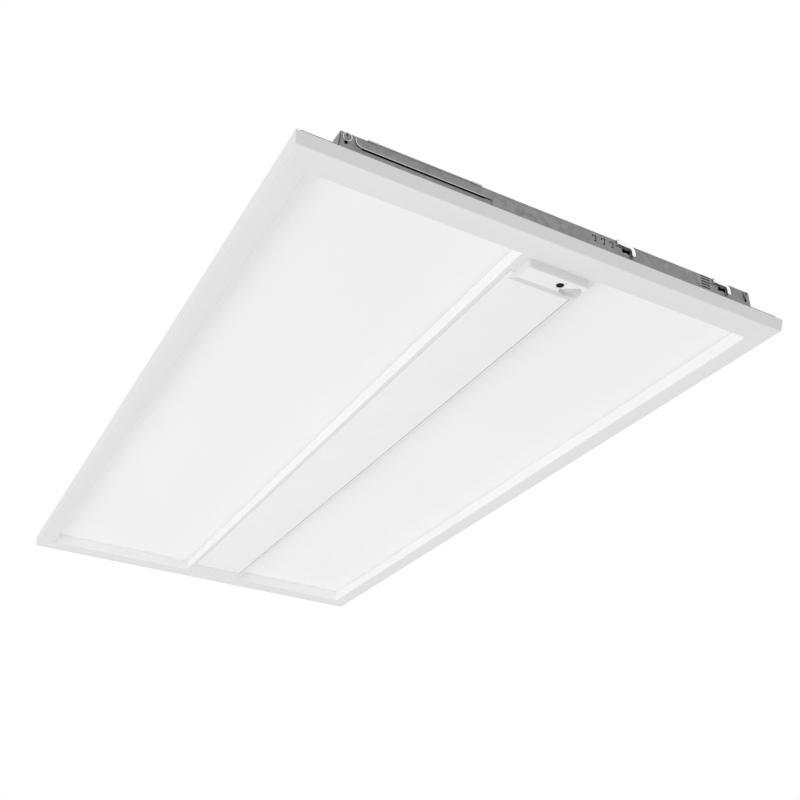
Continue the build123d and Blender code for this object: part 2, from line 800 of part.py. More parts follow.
def scoop_outline(radius):
    """Round mouth with one straight side."""
    shift = radius * scoop_chord / scoop_mouth
    cut = Pos(0, -radius - shift) * Rectangle(4 * radius, 2 * radius)
    return Rot(0, 0, scoop_turn) * (Circle(radius) - cut)


def button_bar(grow, z):
    x, y = in_pod(button_centre)
    bar = slab(button_length + 2 * grow, button_width + 2 * grow, button_width * 0.4 + grow, z)
    return Pos(x, y, 0) * Rot(0, 0, scoop_turn) * bar


def button_flange_block(z):
    """Flange behind the pod's wall, which stops the button from falling out."""
    x, y = in_pod(button_centre)
    flange = Rectangle(button_length + 2 * button_flange_lap, button_width + 2 * button_flange_lap)
    return Pos(x, y, min(z)) * Rot(0, 0, scoop_turn) * extrude(flange, abs(z[1] - z[0]))


def sensor_pod():
    body = pod_form() + pod_neck(0)
    x, y = in_pod(scoop_centre)
    scoop = loft([Pos(x, y, -pod_drop - 0.01) * scoop_outline(scoop_mouth),
                  Pos(x, y, scoop_top) * scoop_outline(scoop_floor)], ruled=True)
    body -= scoop
    x0, x1 = [channel_offset + place for place in neck_x]
    y0, y1 = [pod_y + place for place in neck_y]
    body -= block((x0 + neck_wall, x1 - neck_wall), (y0 + neck_wall, y1 - neck_wall),
                  (floor_top, neck_rise + 1))
    body -= button_bar(button_slot, (scoop_top - 1, floor_top + 1))
    x, y = in_pod(eye_centre)
    body -= tube(eye_radius + hole_clearance, (x, y, -pod_drop - 1), (x, y, floor_top + 1))
    bevel = loft([Pos(x, y, -pod_drop - 0.01) * Circle(eye_radius + eye_bevel),
                  Pos(x, y, -pod_drop + eye_bevel) * Circle(eye_radius + hole_clearance)], ruled=True)
    body -= bevel
    x, y = in_pod(indicator_centre)
    return body - tube(indicator_radius + running_clearance, (x, y, -pod_drop - 1), (x, y, floor_top + 1))


def test_button():
    """Bar that shows in the scoop, with a flange behind the pod's wall."""
    bar = button_bar(0, (scoop_top - button_stand, floor_top + thread_clearance))
    low = floor_top + thread_clearance
    return bar + button_flange_block((low, low + button_flange))


def sensor_lens():
    x, y = in_pod(eye_centre)
    stem = tube(eye_radius, (x, y, -pod_drop + eye_bevel / 2), (x, y, board_low))
    return chamfer(stem.edges().sort_by(Axis.Z)[0], eye_bevel / 2)


def indicator_pipe():
    x, y = in_pod(indicator_centre)
    return tube(indicator_radius, (x, y, -pod_drop), (x, y, board_low))


def sensor_board():
    """Board in the pod's neck, with the switch that the button works."""
    inset = neck_wall + hole_clearance
    x0, x1 = [channel_offset + place for place in neck_x]
    y0, y1 = [pod_y + place for place in neck_y]
    board = block((x0 + inset, x1 - inset), (y0 + inset, y1 - inset), (board_low, board_low + board_gauge))
    x, y = in_pod(button_centre)
    return board + tube(switch_radius, (x, y, board_low - switch_height), (x, y, board_low))


# Driver and wiring

def driver_base():
    half = driver_width / 2
    base = block((channel_offset - half, channel_offset + half), (-driver_length / 2, driver_length / 2),
                 (housing_height - driver_base_gauge, housing_height))
    return drilled(base, driver_screws_at(), (back_under - 1, housing_height + 1), thread_clearance)


def driver_case():
    top = housing_height - driver_base_gauge
    half = driver_width / 2
    case = block((channel_offset - half, channel_offset + half),
                 (-driver_case_length / 2, driver_case_length / 2), (top - driver_height, top))
    return fillet(case.edges().filter_by(Axis.Y).group_by(Axis.Z)[0], driver_base_gauge * 2)


def driver_terminals():
    width, length, height = driver_terminal
    top = housing_height - driver_base_gauge
    blocks = []
    for end in (-1, 1):
        y = end * driver_case_length / 2
        blocks.append(block((channel_offset - width / 2, channel_offset + width / 2), (y, y + end * length),
                            (top - height, top)))
    return Compound(children=blocks)


def supply_terminal():
    x, y = from_end(supply_place)
    width, length, height = supply_block
    terminal = block((x - width / 2, x + width / 2), (y - length / 2, y + length / 2),
                     (back_under - height, back_under))
    for i in (-1, 0, 1):     # wire entries on the side of the door
        entry = x + i * width / 3
        terminal -= facet_bar(lead_radius * 1.4, (entry, y - length, back_under - height / 2),
                              (entry, y, back_under - height / 2))
    return terminal


def lead(points, bend, size):
    """A square bundle of conductors swept along straight runs joined by an arc."""
    path = FilletPolyline(*points, radius=bend)
    start = Plane(origin=path @ 0, z_dir=path % 0)
    return sweep(start * Rectangle(size, size), path=path)


def supply_leads():
    """From the supply terminal along the wiring space, then up the channel to the driver."""
    x, y = from_end(supply_place)
    z = back_under - supply_block[2] / 2
    driver_x = channel_offset - driver_terminal[0] / 4
    driver_y = -driver_case_length / 2 - driver_terminal[1]
    return lead([(x + supply_block[0] / 2, y, z), (driver_x, y, z), (driver_x, driver_y, z)],
                supply_lead_bend, supply_lead_size)


def sensor_lead():
    """From the sensor board up into the channel and along it to the driver."""
    x, y = in_pod((12.0, 15.0))
    z = back_under - driver_terminal[2] / 2
    driver_y = -driver_case_length / 2 - driver_terminal[1]
    return lead([(x, y, board_low + board_gauge), (x, y, z), (x, driver_y, z)], sensor_lead_bend,
                2 * lead_radius)


def ground_screw():
    """Earth screw driven up into the back from the wiring space."""
    x, y = from_end(ground_place)
    head = facet_bar(screw_head, (x, y, back_under - screw_head_height), (x, y, back_under))
    return head + facet_bar(screw_radius, (x, y, back_under), (x, y, housing_height + screw_head_height))


def screws(places, seat, reach):
    return Compound(children=[screw_down(x, y, seat, reach) for x, y in places])


channel_screw_reach = channel_gauge + 2 * frame_gauge
parts = {
    "bezel_frame": bezel_frame(),
    "centre_channel": centre_channel(),
    "channel_screws": screws(channel_screws_at(), lens_seat + channel_gauge, channel_screw_reach),
    "centre_cover": centre_cover(),
    "cover_springs": cover_springs(),
    "board_rivets": board_rivets(),
    "board_leads": board_leads(),
    "housing_tray": housing_tray(),
    "frame_screws": screws(frame_screws_at(), flange_top, tray_gauge + 2 * frame_gauge),
    "end_plate_near": end_plate(True),
    "end_plate_far": turned(end_plate(False)),
    "plate_screws": screws(plate_screws_at(-1) + plate_screws_at(1), housing_height, 4 * tray_gauge),
    "wiring_door": wiring_door(),
    "door_pin": door_pin(),
    "clip_pins": clip_pins(),
    "sensor_pod": sensor_pod(),
    "sensor_lens": sensor_lens(),
    "indicator_pipe": indicator_pipe(),
    "test_button": test_button(),
    "sensor_board": sensor_board(),
    "sensor_lead": sensor_lead(),
    "driver_case": driver_case(),
    "driver_base": driver_base(),
    "driver_terminals": driver_terminals(),
    "driver_access_plate": driver_access_plate(),
    "driver_screws": screws(driver_screws_at(), housing_height + tray_gauge, 3 * tray_gauge),
    "access_screws": screws(access_screws_at(), housing_height + tray_gauge, 4 * tray_gauge),
    "knockout_disc": knockout_disc(),
    "supply_bushing": supply_bushing(),
    "supply_terminal": supply_terminal(),
    "supply_leads": supply_leads(),
    "ground_screw": ground_screw(),
}

board_number = 0
for side, span in lens_spans.items():
    parts[f"lens_{side}"] = lens(span)
    parts[f"reflector_{side}"] = reflector(span)
    for row in board_rows(span):
        board_number += 1
        parts[f"led_board_{board_number}"] = led_board(row)

for place, x in clip_places.items():
    parts[f"grid_clip_near_{place}"] = grid_clip(x)
    parts[f"grid_clip_far_{place}"] = turned(grid_clip(x))

for node, shape in parts.items():
    shape.label = node
    export_step(shape, f"parts/{node}.step")
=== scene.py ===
import json
import math

import bmesh
import bpy
from mathutils import Matrix, Vector


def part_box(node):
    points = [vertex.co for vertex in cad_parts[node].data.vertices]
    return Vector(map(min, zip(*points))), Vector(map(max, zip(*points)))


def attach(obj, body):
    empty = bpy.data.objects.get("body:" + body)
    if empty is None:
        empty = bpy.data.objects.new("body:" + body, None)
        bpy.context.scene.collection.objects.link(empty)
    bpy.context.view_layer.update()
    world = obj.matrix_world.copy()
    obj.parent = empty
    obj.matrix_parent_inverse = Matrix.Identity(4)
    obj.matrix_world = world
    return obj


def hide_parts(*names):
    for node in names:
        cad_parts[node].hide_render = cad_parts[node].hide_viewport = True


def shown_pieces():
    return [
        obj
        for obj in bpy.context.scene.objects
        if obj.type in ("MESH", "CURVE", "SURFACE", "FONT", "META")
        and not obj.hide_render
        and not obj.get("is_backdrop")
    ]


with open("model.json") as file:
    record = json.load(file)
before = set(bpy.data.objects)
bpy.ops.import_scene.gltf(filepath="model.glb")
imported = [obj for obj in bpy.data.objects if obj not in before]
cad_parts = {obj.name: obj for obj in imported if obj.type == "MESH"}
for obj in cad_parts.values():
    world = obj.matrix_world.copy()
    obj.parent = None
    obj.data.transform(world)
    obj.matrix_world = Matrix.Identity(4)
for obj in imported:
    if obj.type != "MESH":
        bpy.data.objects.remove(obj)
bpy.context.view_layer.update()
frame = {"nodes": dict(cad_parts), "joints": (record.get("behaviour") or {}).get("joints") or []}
nodes = frame["nodes"]
mm = 0.001
print("frame:", len(nodes), "pieces loaded")


# Small helpers

def toLinear(hexColour):
    parts = [int(hexColour[i:i + 2], 16) / 255 for i in (0, 2, 4)]
    return [c / 12.92 if c <= 0.04045 else ((c + 0.055) / 1.055) ** 2.4 for c in parts] + [1.0]


def addNode(tree, kind, settings=None, links=None):
    # settings go to a ramp's stops, to a socket of that name or number, or else to the node itself
    node = tree.nodes.new(kind)
    for name, value in (settings or {}).items():
        if name == "stops":
            for (place, colour), element in zip(value, node.color_ramp.elements):
                element.position = place
                element.color = toLinear(colour)
        elif isinstance(name, int) or name in node.inputs:
            node.inputs[name].default_value = value
        else:
            setattr(node, name, value)
    for name, source in (links or {}).items():
        tree.links.new(source, node.inputs[name])
    return node


def startMaterial(name, **shader):
    material = bpy.data.materials.new(name)
    material.use_nodes = True
    tree = material.node_tree
    tree.nodes.clear()
    bsdf = addNode(tree, "ShaderNodeBsdfPrincipled", shader)
    addNode(tree, "ShaderNodeOutputMaterial", links={"Surface": bsdf.outputs[0]})
    return material, tree, bsdf


def objectPlace(tree):
    # metres in the light's own frame, so a scale of 1000 / size in mm gives a pattern of that size
    return addNode(tree, "ShaderNodeTexCoord").outputs["Object"]


# Materials

def bakedEnamel(name, colour, shadow):
    # powder-coated steel: even white, satin, with the faint orange peel that a baked coat dries to
    coat = {"peel": 2.2, "cloud": 180, "relief": 0.12}
    material, tree, bsdf = startMaterial(name, Roughness=0.42, IOR=1.5)
    place = objectPlace(tree)
    cloud = addNode(tree, "ShaderNodeTexNoise", {"Scale": 1000 / coat["cloud"], "Detail": 3.0},
                    {"Vector": place})
    peel = addNode(tree, "ShaderNodeTexNoise", {"Scale": 1000 / coat["peel"], "Detail": 1.5},
                   {"Vector": place})
    tint = addNode(tree, "ShaderNodeValToRGB", {"stops": [(0.3, shadow), (0.7, colour)]},
                   {"Fac": cloud.outputs["Fac"]})
    tree.links.new(tint.outputs["Color"], bsdf.inputs["Base Color"])
    sheen = addNode(tree, "ShaderNodeMapRange", {"To Min": 0.38, "To Max": 0.48},
                    {"Value": peel.outputs["Fac"]})
    tree.links.new(sheen.outputs["Result"], bsdf.inputs["Roughness"])
    bump = addNode(tree, "ShaderNodeBump", {"Strength": 0.25, "Distance": coat["relief"] * mm},
                   {"Height": peel.outputs["Fac"]})
    tree.links.new(bump.outputs["Normal"], bsdf.inputs["Normal"])
    return material


def mouldedAbs(name, colour, deep):
    # injection-moulded ABS from a spark-eroded tool: soft, dry-looking sheen with a very fine grain
    grain = {"size": 0.6, "flow": 60}
    material, tree, bsdf = startMaterial(name, Roughness=0.5, IOR=1.54)
    place = objectPlace(tree)
    fine = addNode(tree, "ShaderNodeTexNoise", {"Scale": 1000 / grain["size"], "Detail": 2.0},
                   {"Vector": place})
    flow = addNode(tree, "ShaderNodeTexNoise", {"Scale": 1000 / grain["flow"], "Detail": 2.0},
                   {"Vector": place})
    tint = addNode(tree, "ShaderNodeValToRGB", {"stops": [(0.3, deep), (0.7, colour)]},
                   {"Fac": flow.outputs["Fac"]})
    tree.links.new(tint.outputs["Color"], bsdf.inputs["Base Color"])
    sheen = addNode(tree, "ShaderNodeMapRange", {"To Min": 0.44, "To Max": 0.58},
                    {"Value": fine.outputs["Fac"]})
    tree.links.new(sheen.outputs["Result"], bsdf.inputs["Roughness"])
    bump = addNode(tree, "ShaderNodeBump", {"Strength": 0.2, "Distance": 0.05 * mm},
                   {"Height": fine.outputs["Fac"]})
    tree.links.new(bump.outputs["Normal"], bsdf.inputs["Normal"])
    return material


def opalAcrylic():
    # extruded opal PMMA with a matt face: light soaks in a little, so edges look soft and milky
    sheet = {"colour": "F9F9F9", "deep": "F7F7F7", "grain": 0.8, "cloud": 260}
    material, tree, bsdf = startMaterial("Acrylic opal extruded", Roughness=0.55, IOR=1.49)
    bsdf.inputs["Subsurface Weight"].default_value = 0.25
    bsdf.inputs["Subsurface Radius"].default_value = (1.0, 1.0, 1.0)
    bsdf.inputs["Subsurface Scale"].default_value = 2 * mm
    place = objectPlace(tree)
    cloud = addNode(tree, "ShaderNodeTexNoise", {"Scale": 1000 / sheet["cloud"], "Detail": 1.0},
                    {"Vector": place})
    grain = addNode(tree, "ShaderNodeTexNoise", {"Scale": 1000 / sheet["grain"], "Detail": 2.0},
                    {"Vector": place})
    tint = addNode(tree, "ShaderNodeValToRGB", {"stops": [(0.3, sheet["deep"]), (0.7, sheet["colour"])]},
                   {"Fac": cloud.outputs["Fac"]})
    tree.links.new(tint.outputs["Color"], bsdf.inputs["Base Color"])
    sheen = addNode(tree, "ShaderNodeMapRange", {"To Min": 0.5, "To Max": 0.6},
                    {"Value": grain.outputs["Fac"]})
    tree.links.new(sheen.outputs["Result"], bsdf.inputs["Roughness"])
    return material


def galvanisedSheet():
    # hot-dip galvanised sheet: cool grey with a spangle of flat crystals, each a little lighter or darker
    zinc = {"crystal": 7, "light": "929293", "dark": "828283", "roll": 1.2, "rollShare": 0.35}
    material, tree, bsdf = startMaterial("Steel hot-dip galvanised", Metallic=1.0)
    place = objectPlace(tree)
    drift = addNode(tree, "ShaderNodeTexNoise", {"Scale": 1000 / (zinc["crystal"] * 1.5), "Detail": 2.0},
                    {"Vector": place})
    bent = addNode(tree, "ShaderNodeVectorMath", {"operation": "MULTIPLY_ADD", 1: (0.004, 0.004, 0.004)},
                   {0: drift.outputs["Color"], 2: place})
    crystals = addNode(tree, "ShaderNodeTexVoronoi", {"Scale": 1000 / zinc["crystal"]},
                       {"Vector": bent.outputs["Vector"]})
    tone = addNode(tree, "ShaderNodeSeparateColor", links={"Color": crystals.outputs["Color"]})
    rolled = addNode(tree, "ShaderNodeTexNoise", {"Scale": 1000 / zinc["roll"], "Detail": 3.0},
                     {"Vector": place})
    mixed = addNode(tree, "ShaderNodeMix", {"Factor": zinc["rollShare"]},
                    {"A": tone.outputs["Red"], "B": rolled.outputs["Fac"]})
    tint = addNode(tree, "ShaderNodeValToRGB", {"stops": [(0.1, zinc["dark"]), (0.9, zinc["light"])]},
                   {"Fac": mixed.outputs["Result"]})
    tree.links.new(tint.outputs["Color"], bsdf.inputs["Base Color"])
    sheen = addNode(tree, "ShaderNodeMapRange", {"To Min": 0.34, "To Max": 0.5},
                    {"Value": tone.outputs["Green"]})
    tree.links.new(sheen.outputs["Result"], bsdf.inputs["Roughness"])
    bump = addNode(tree, "ShaderNodeBump", {"Strength": 0.15, "Distance": 0.05 * mm},
                   {"Height": mixed.outputs["Result"]})
    tree.links.new(bump.outputs["Normal"], bsdf.inputs["Normal"])
    return material


def zincPlated(name, light, dark, grain):
    # bright zinc plate over steel: paler than the galvanised sheet, with fine drawing marks
    material, tree, bsdf = startMaterial(name, Metallic=1.0)
    place = objectPlace(tree)
    marks = addNode(tree, "ShaderNodeTexNoise", {"Scale": 1000 / grain, "Detail": 4.0},
                    {"Vector": place})
    tint = addNode(tree, "ShaderNodeValToRGB", {"stops": [(0.3, dark), (0.7, light)]},
                   {"Fac": marks.outputs["Fac"]})
    tree.links.new(tint.outputs["Color"], bsdf.inputs["Base Color"])
    sheen = addNode(tree, "ShaderNodeMapRange", {"To Min": 0.25, "To Max": 0.42},
                    {"Value": marks.outputs["Fac"]})
    tree.links.new(sheen.outputs["Result"], bsdf.inputs["Roughness"])
    bump = addNode(tree, "ShaderNodeBump", {"Strength": 0.2, "Distance": 0.03 * mm},
                   {"Height": marks.outputs["Fac"]})
    tree.links.new(bump.outputs["Normal"], bsdf.inputs["Normal"])
    return material


def polishedPolycarbonate(name, colour, deep):
    # moulded polycarbonate with a polished face: dark, wet-looking, with a clear highlight
    material, tree, bsdf = startMaterial(name, IOR=1.58)
    place = objectPlace(tree)
    haze = addNode(tree, "ShaderNodeTexNoise", {"Scale": 1000 / 3, "Detail": 2.0}, {"Vector": place})
    tint = addNode(tree, "ShaderNodeValToRGB", {"stops": [(0.3, deep), (0.7, colour)]},
                   {"Fac": haze.outputs["Fac"]})
    tree.links.new(tint.outputs["Color"], bsdf.inputs["Base Color"])
    sheen = addNode(tree, "ShaderNodeMapRange", {"To Min": 0.12, "To Max": 0.2},
                    {"Value": haze.outputs["Fac"]})
    tree.links.new(sheen.outputs["Result"], bsdf.inputs["Roughness"])
    bsdf.inputs["Specular IOR Level"].default_value = 0.1
    return material


def printedBoard(name, colour, deep):
    # glass-fibre board under solder mask: the weave shows as a faint darker net
    material, tree, bsdf = startMaterial(name, IOR=1.5)
    place = objectPlace(tree)
    weave = addNode(tree, "ShaderNodeTexChecker", {"Scale": 1000 / 0.8}, {"Vector": place})
    haze = addNode(tree, "ShaderNodeTexNoise", {"Scale": 1000 / 12, "Detail": 2.0}, {"Vector": place})
    both = addNode(tree, "ShaderNodeMix", {"Factor": 0.6},
                   {"A": weave.outputs["Fac"], "B": haze.outputs["Fac"]})
    tint = addNode(tree, "ShaderNodeValToRGB", {"stops": [(0.2, deep), (0.8, colour)]},
                   {"Fac": both.outputs["Result"]})
    tree.links.new(tint.outputs["Color"], bsdf.inputs["Base Color"])
    sheen = addNode(tree, "ShaderNodeMapRange", {"To Min": 0.28, "To Max": 0.4},
                    {"Value": haze.outputs["Fac"]})
    tree.links.new(sheen.outputs["Result"], bsdf.inputs["Roughness"])
    return material


def softPlastic(name, colour, deep, roughness, grain):
    # nylon and PVC: slightly waxy, mottled at the scale of the pellets' flow
    material, tree, bsdf = startMaterial(name, IOR=1.53)
    place = objectPlace(tree)
    mottle = addNode(tree, "ShaderNodeTexNoise", {"Scale": 1000 / grain, "Detail": 3.0},
                     {"Vector": place})
    tint = addNode(tree, "ShaderNodeValToRGB", {"stops": [(0.3, deep), (0.7, colour)]},
                   {"Fac": mottle.outputs["Fac"]})
    tree.links.new(tint.outputs["Color"], bsdf.inputs["Base Color"])
    sheen = addNode(tree, "ShaderNodeMapRange", {"To Min": roughness - 0.06, "To Max": roughness + 0.06},
                    {"Value": mottle.outputs["Fac"]})
    tree.links.new(sheen.outputs["Result"], bsdf.inputs["Roughness"])
    bump = addNode(tree, "ShaderNodeBump", {"Strength": 0.15, "Distance": 0.05 * mm},
                   {"Height": mottle.outputs["Fac"]})
    tree.links.new(bump.outputs["Normal"], bsdf.inputs["Normal"])
    return material


finishes = {
    "enamel": bakedEnamel("Steel baked enamel", "E9E9E9", "E6E6E6"),
    # painted light: the frame's enamel made whiter for the recess walls
    "recessPaintedLight": bakedEnamel("Steel baked enamel recess painted light", "FDFDFD", "FAFAFA"),
    "whiteAbs": mouldedAbs("ABS white moulded", "F4F4F4", "F2F2F2"),
    "greyAbs": mouldedAbs("ABS light grey moulded", "E2E2E1", "DADAD9"),
    "opal": opalAcrylic(),
    "galvanised": galvanisedSheet(),
    "clip": zincPlated("Spring steel bright zinc plated", "FAFAFA", "F2F2F2", 1.5),
    # paler zinc: painted light on the hinge knuckles, painted highlight on the hanger rims and the door's hem
    "pressed": zincPlated("Steel galvanised paler painted light", "DCDCDD", "CECECF", 1.2),
    # painted shade: darker ABS for the scoop in the pod and for the pod's slopes
    "scoopPaintedShade": mouldedAbs("ABS white scoop painted shade", "DCDCDC", "D6D6D6"),
    "slopePaintedShade": mouldedAbs("ABS white slopes painted shade", "EAEAEA", "E6E6E6"),
    "zinc": zincPlated("Steel zinc plated", "C9CBCE", "B3B5B8", 0.8),
    "blackEye": polishedPolycarbonate("Polycarbonate black polished", "060607", "030303"),
    "pipe": polishedPolycarbonate("Polycarbonate smoked polished", "3A3A3C", "2C2C2E"),
    "greenBoard": printedBoard("Board green solder mask", "1F6B3C", "17542E"),
    "whiteBoard": printedBoard("Board white solder mask", "EFEFEA", "E2E2DC"),
    "greyLead": softPlastic("PVC grey extruded", "C4C4C2", "B4B4B2", 0.45, 4),
    "blackLead": softPlastic("PVC black extruded", "1E1E1E", "141414", 0.42, 4),
    "greenLead": softPlastic("PVC green extruded", "2F7D46", "27693A", 0.42, 4),
    "nylon": softPlastic("Nylon natural moulded", "E6E2D6", "DAD5C7", 0.38, 6),
    "blackNylon": softPlastic("Nylon black moulded", "1A1A1B", "111112", 0.45, 6),
    "greenZinc": zincPlated("Steel green passivated", "3E8A55", "2E6E42", 0.8),
    "driverPaint": mouldedAbs("Steel white painted", "E8E8E6", "E0E0DE"),
}
print("finishes:", len(finishes))

nodeFinish = {
    "enamel": ["bezel_frame", "centre_channel", "reflector_left", "reflector_right"],
    "whiteAbs": ["centre_cover", "sensor_pod", "board_rivets"],
    "greyAbs": ["test_button"],
    "opal": ["lens_left", "lens_right"],
    "galvanised": ["housing_tray", "end_plate_near", "end_plate_far", "wiring_door", "driver_access_plate",
                   "knockout_disc", "driver_base"],
    "clip": ["grid_clip_near_inner", "grid_clip_near_outer", "grid_clip_far_inner", "grid_clip_far_outer",
             "cover_springs", "clip_pins"],
    "zinc": ["door_pin", "channel_screws", "frame_screws", "plate_screws", "access_screws",
             "driver_screws"],
    "blackEye": ["sensor_lens"],
    "pipe": ["indicator_pipe"],
    "greenBoard": ["sensor_board"],
    "whiteBoard": ["led_board_1", "led_board_2", "led_board_3", "led_board_4"],
    "greyLead": ["sensor_lead", "board_leads"],
    "blackLead": ["supply_leads"],
    "nylon": ["supply_terminal", "driver_terminals"],
    "blackNylon": ["supply_bushing"],
    "greenZinc": ["ground_screw"],
    "driverPaint": ["driver_case"],
}
for finish, names in nodeFinish.items():
    for name in names:
        mesh = nodes[name].data
        mesh.materials.clear()
        mesh.materials.append(finishes[finish])


# Building blocks of the pieces that stand for CAD nodes

def addPiece(name, mesh, body, standsFor, finish):
    piece = bpy.data.objects.new(name, mesh)
    bpy.context.scene.collection.objects.link(piece)
    mesh.materials.clear()
    mesh.materials.append(finishes[finish])
    if standsFor:
        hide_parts(*standsFor)
    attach(piece, body)
    return piece


def roundEdges(piece, width, steps=2, sharpAngle=35):
    bevel = piece.modifiers.new("rounded edges", "BEVEL")
    bevel.width = width * mm
    bevel.segments = steps
    bevel.limit_method = "ANGLE"
    bevel.angle_limit = math.radians(sharpAngle)
    bevel.harden_normals = True
    piece.data.shade_smooth()
    piece.data.set_sharp_from_angle(angle=math.radians(sharpAngle + 20))
    return piece


def cleanCopy(node):
    # the node's form with its flat faces made whole, so that a bevel follows only the true edges
    form = bmesh.new()
    form.from_mesh(nodes[node].data)
    bmesh.ops.remove_doubles(form, verts=form.verts, dist=0.002 * mm)
    bmesh.ops.dissolve_limit(form, angle_limit=math.radians(1), verts=form.verts, edges=form.edges)
    return form


def toMesh(form, name):
    mesh = bpy.data.meshes.new(name)
    form.to_mesh(mesh)
    form.free()
    return mesh


def islandBoxes(node):
    # lowest and highest corner of each separate solid in a node
    form = bmesh.new()
    form.from_mesh(nodes[node].data)
    bmesh.ops.remove_doubles(form, verts=form.verts, dist=0.002 * mm)
    waiting, boxes = set(form.verts), []
    while waiting:
        island, edge = set(), [waiting.pop()]
        while edge:
            vert = edge.pop()
            island.add(vert)
            near = {link.other_vert(vert) for link in vert.link_edges} & waiting
            waiting -= near
            edge.extend(near)
        places = [vert.co.copy() for vert in island]
        boxes.append([Vector(pick(axis) for axis in zip(*places)) for pick in (min, max)])
    form.free()
    return boxes


def addRings(form, rings, centre, flip=1, count=36):
    # a turned form: each ring is (radius, height, number of flats or 0), in mm, with both ends left open
    loops = []
    for radius, height, flats in rings:
        loop = []
        for i in range(count):
            turn = 2 * math.pi * i / count
            reach = radius
            if flats:
                half = math.pi / flats
                reach = radius / math.cos((turn + half) % (2 * half) - half)
            loop.append(form.verts.new(Vector(centre) + mm * Vector(
                (reach * math.cos(turn), reach * math.sin(turn), flip * height))))
        loops.append(loop)
    for low, high in zip(loops, loops[1:]):
        for i in range(count):
            j = (i + 1) % count
            form.faces.new((low[i], low[j], high[j], high[i]))
    return loops


def capRings(form, loops):
    form.faces.new(list(reversed(loops[0])))
    form.faces.new(loops[-1])


def addTube(form, path, radius, sides=12, closed=False):
    # a round bar along a list of points in metres
    loops, last = [], None
    count = len(path)
    for i, place in enumerate(path):
        before = path[i - 1] if i or closed else place
        after = path[(i + 1) % count] if i + 1 < count or closed else place
        along = (Vector(after) - Vector(before)).normalized()
        across = along.orthogonal() if last is None else (last - last.project(along))
        last = across.normalized()
        other = along.cross(last)
        loops.append([form.verts.new(Vector(place) + radius * mm * (
            last * math.cos(2 * math.pi * j / sides) + other * math.sin(2 * math.pi * j / sides)))
            for j in range(sides)])
    pairs = list(zip(loops, loops[1:])) + ([(loops[-1], loops[0])] if closed else [])
    for low, high in pairs:
        for j in range(sides):
            k = (j + 1) % sides
            form.faces.new((low[j], low[k], high[k], high[j]))
    if not closed:
        capRings(form, loops)


# Softened copies: folded, moulded and cut parts have no knife-sharp edges

softened = {
    # node: (finish, slot, edge radius in mm)
    "bezel_frame": ("enamel", "enamel", 0.35),
    "centre_channel": ("enamel", "enamel", 0.25),
    "sensor_pod": ("whiteAbs", "white_plastic", 0.3),
    "test_button": ("greyAbs", "white_plastic", 0.25),
    "wiring_door": ("galvanised", "galvanised", 0.2),
    "end_plate_near": ("galvanised", "galvanised", 0.12),
    "end_plate_far": ("galvanised", "galvanised", 0.12),
    "driver_access_plate": ("galvanised", "galvanised", 0.2),
    "driver_case": ("driverPaint", "driver_white", 0.6),
    "driver_terminals": ("nylon", "terminal", 0.4),
    "supply_terminal": ("nylon", "terminal", 0.4),
}
bodyOf = {"wiring_door": "wiring_door", "test_button": "test_button"}
for node, (finish, slot, radius) in softened.items():
    piece = addPiece(node + "_soft", toMesh(cleanCopy(node), node + "_soft"), bodyOf.get(node, "housing"),
                     [node], finish)
    roundEdges(piece, radius)
print("softened:", len(softened))


# The walls of the lens recesses get a whiter enamel: painted light, so they look lighter than the frame's
# face

recess = {"wallReach": 299.0, "wallLength": 603.5, "lowest": -0.5, "depth": 18.5, "upright": 0.6}
for node in ("bezel_frame", "centre_channel"):
    shell = bpy.data.objects[node + "_soft"].data
    shell.materials.append(finishes["recessPaintedLight"])
    for face in shell.polygons:
        x, y, z = face.center / mm
        upright = abs(face.normal.z) < recess["upright"] and recess["lowest"] < z < recess["depth"]
        if upright and abs(x) < recess["wallReach"] and abs(y) < recess["wallLength"]:
            face.material_index = 1


# The scoop in the pod and the pod's slopes get a darker ABS each: painted shade, so they look darker than the
# pod's face

scoop = {"reach": 14.0, "below": 8.85, "above": 2.9, "upward": 0.3, "upright": 0.05}
podSlopes = {"below": 0.2, "tilt": 0.8, "turned": 0.5}
podPiece = bpy.data.objects["sensor_pod_soft"]
buttonLow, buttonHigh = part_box("test_button")
scoopMiddle = (Vector(buttonLow) + Vector(buttonHigh)) / 2
podPiece.data.materials.append(finishes["scoopPaintedShade"])
podPiece.data.materials.append(finishes["slopePaintedShade"])
for face in podPiece.data.polygons:
    away = (face.center - scoopMiddle).to_2d().length
    # inside the scoop: painted shade
    if away < scoop["reach"] * mm and -scoop["below"] * mm < face.center.z < -scoop["above"] * mm:
        if face.normal.z < scoop["upward"] and abs(face.normal.z) > scoop["upright"]:
            face.material_index = 1
    # slopes turned towards -X or -Y: painted shade
    turned = min(face.normal.x, face.normal.y) < -podSlopes["turned"]
    sloping = turned and abs(face.normal.z) < podSlopes["tilt"]
    if sloping and face.center.z < -podSlopes["below"] * mm and face.material_index == 0:
        face.material_index = 2


# Hinge knuckles in the paler finish of the pressed parts: painted light, so they don't stand out dark against
# the white

knuckles = {"plateReach": 1.9, "doorReach": 1.6, "half": 6.0}


def brightKnuckles(piece, pins, reach):
    # faces near each pin get the paler zinc: painted light
    piece.data.materials.append(finishes["pressed"])
    for face in piece.data.polygons:
        for x, y, z, span in pins:
            aside = face.center.z - z if span else face.center.x - x
            near = math.hypot(face.center.y - y, aside) < reach * mm
            if near and (span or abs(face.center.z - z) < knuckles["half"] * mm):
                face.material_index = 1


